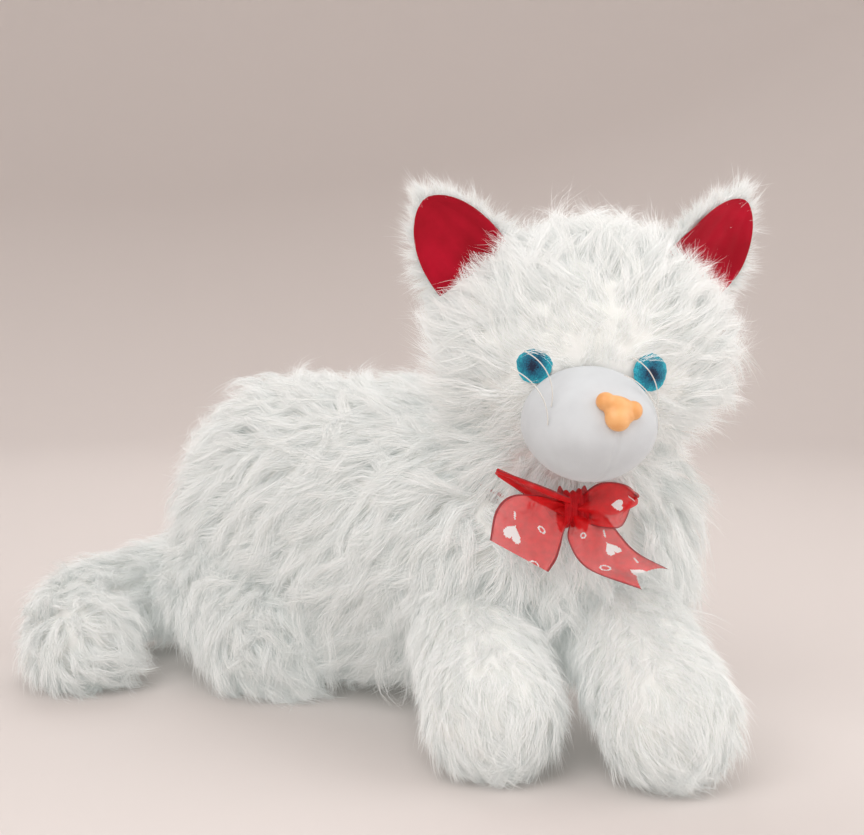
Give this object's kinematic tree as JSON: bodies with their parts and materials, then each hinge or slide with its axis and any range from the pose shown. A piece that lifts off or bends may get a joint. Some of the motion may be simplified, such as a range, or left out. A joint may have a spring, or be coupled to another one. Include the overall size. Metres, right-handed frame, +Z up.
{
  "type": "plush cat",
  "caption": "Lying plush cat with long curly fur, a smooth round muzzle, lined ears and a sheer ribbon bow; head, ears, legs and tail give on springy sewn joints",
  "frame": {"origin": "on the floor, at the middle of the flat patch of the belly gusset under the rump", "axes": "+Z is up, -Y is the way the chest faces, +X is to the cat's left"},
  "size_m": [0.3623, 0.4356, 0.3063],
  "materials": {
    "fur": "long curly acrylic pile, off-white",
    "stuffing": "polyester fibre fill",
    "velour": "very short smooth pile, white",
    "satin": "red satin with a soft sheen",
    "ribbon": "sheer red organza with woven edges and white printed hearts",
    "nose": "soft satin moulded plastic, peach",
    "iris": "flocked teal with light flecks",
    "pupil": "flocked dark navy",
    "washer": "plain moulded plastic",
    "whisker": "clear nylon filament"
  },
  "bodies": {
    "torso": {"torso_left_panel": "fur", "torso_right_panel": "fur", "belly_gusset": "fur", "torso_stuffing": "stuffing", "ribbon_neckband": "ribbon", "ribbon_knot": "ribbon", "ribbon_loop_left": "ribbon", "ribbon_loop_right": "ribbon", "ribbon_tail_left": "ribbon", "ribbon_tail_right": "ribbon"},
    "neck": {"neck_stuffing": "stuffing"},
    "head": {"head_left_panel": "fur", "head_right_panel": "fur", "head_gusset": "fur", "head_stuffing": "stuffing", "muzzle_left_panel": "velour", "muzzle_right_panel": "velour", "muzzle_stuffing": "stuffing", "nose": "nose", "nose_washer": "washer", "eye_left": "iris", "eye_right": "iris", "pupil_left": "pupil", "pupil_right": "pupil", "whiskers_left": "whisker", "whiskers_right": "whisker"},
    "ear_left": {"ear_left_back": "fur", "ear_left_lining": "satin"},
    "ear_right": {"ear_right_back": "fur", "ear_right_lining": "satin"},
    "foreleg_left": {"foreleg_left_outer_panel": "fur", "foreleg_left_inner_panel": "fur", "foreleg_left_stuffing": "stuffing"},
    "foreleg_right": {"foreleg_right_outer_panel": "fur", "foreleg_right_inner_panel": "fur", "foreleg_right_stuffing": "stuffing"},
    "hind_leg_left": {"hind_leg_left_outer_panel": "fur", "hind_leg_left_inner_panel": "fur", "hind_leg_left_stuffing": "stuffing"},
    "hind_leg_right": {"hind_leg_right_outer_panel": "fur", "hind_leg_right_inner_panel": "fur", "hind_leg_right_stuffing": "stuffing"},
    "tail": {"tail_upper_panel": "fur", "tail_under_panel": "fur", "tail_stuffing": "stuffing"}
  },
  "joints": [
    {"name": "head_turn", "type": "hinge", "parent": "torso", "child": "neck", "pos_m": [0.09793, -0.20216, 0.176], "axis": [0, 0, 1], "range_deg": [-25, 30], "stiffness_Nm_per_rad": 2},
    {"name": "head_nod", "type": "hinge", "parent": "neck", "child": "head", "pos_m": [0.09793, -0.20216, 0.176], "axis": [0.9563, -0.2924, 0], "range_deg": [-10, 6], "stiffness_Nm_per_rad": 2.5},
    {"name": "ear_left_fold", "type": "hinge", "parent": "head", "child": "ear_left", "pos_m": [0.15344, -0.24483, 0.261], "axis": [0.8328, 0.2682, -0.4843], "range_deg": [-20, 20], "stiffness_Nm_per_rad": 0.15},
    {"name": "ear_right_fold", "type": "hinge", "parent": "head", "child": "ear_right", "pos_m": [0.04442, -0.2115, 0.261], "axis": [0.7147, -0.4359, 0.547], "range_deg": [-20, 20], "stiffness_Nm_per_rad": 0.15},
    {"name": "foreleg_left_lift", "type": "hinge", "parent": "torso", "child": "foreleg_left", "pos_m": [0.12493, -0.22616, 0.065], "axis": [-0.9877, 0.1564, 0], "range_deg": [0, 18], "stiffness_Nm_per_rad": 1},
    {"name": "foreleg_right_lift", "type": "hinge", "parent": "torso", "child": "foreleg_right", "pos_m": [0.05093, -0.18216, 0.065], "axis": [-0.9763, 0.2164, 0], "range_deg": [0, 18], "stiffness_Nm_per_rad": 1},
    {"name": "hind_leg_left_swing", "type": "hinge", "parent": "torso", "child": "hind_leg_left", "pos_m": [0.03413, 0.0331, 0.056], "axis": [0, 0, 1], "range_deg": [0, 14], "stiffness_Nm_per_rad": 0.8},
    {"name": "hind_leg_right_swing", "type": "hinge", "parent": "torso", "child": "hind_leg_right", "pos_m": [-0.04594, -0.01221, 0.056], "axis": [0, 0, -1], "range_deg": [0, 14], "stiffness_Nm_per_rad": 0.8},
    {"name": "tail_swing", "type": "hinge", "parent": "torso", "child": "tail", "pos_m": [-0.04, 0.056, 0.05], "axis": [0, 0, 1], "range_deg": [-14, 10], "stiffness_Nm_per_rad": 0.5}
  ]
}
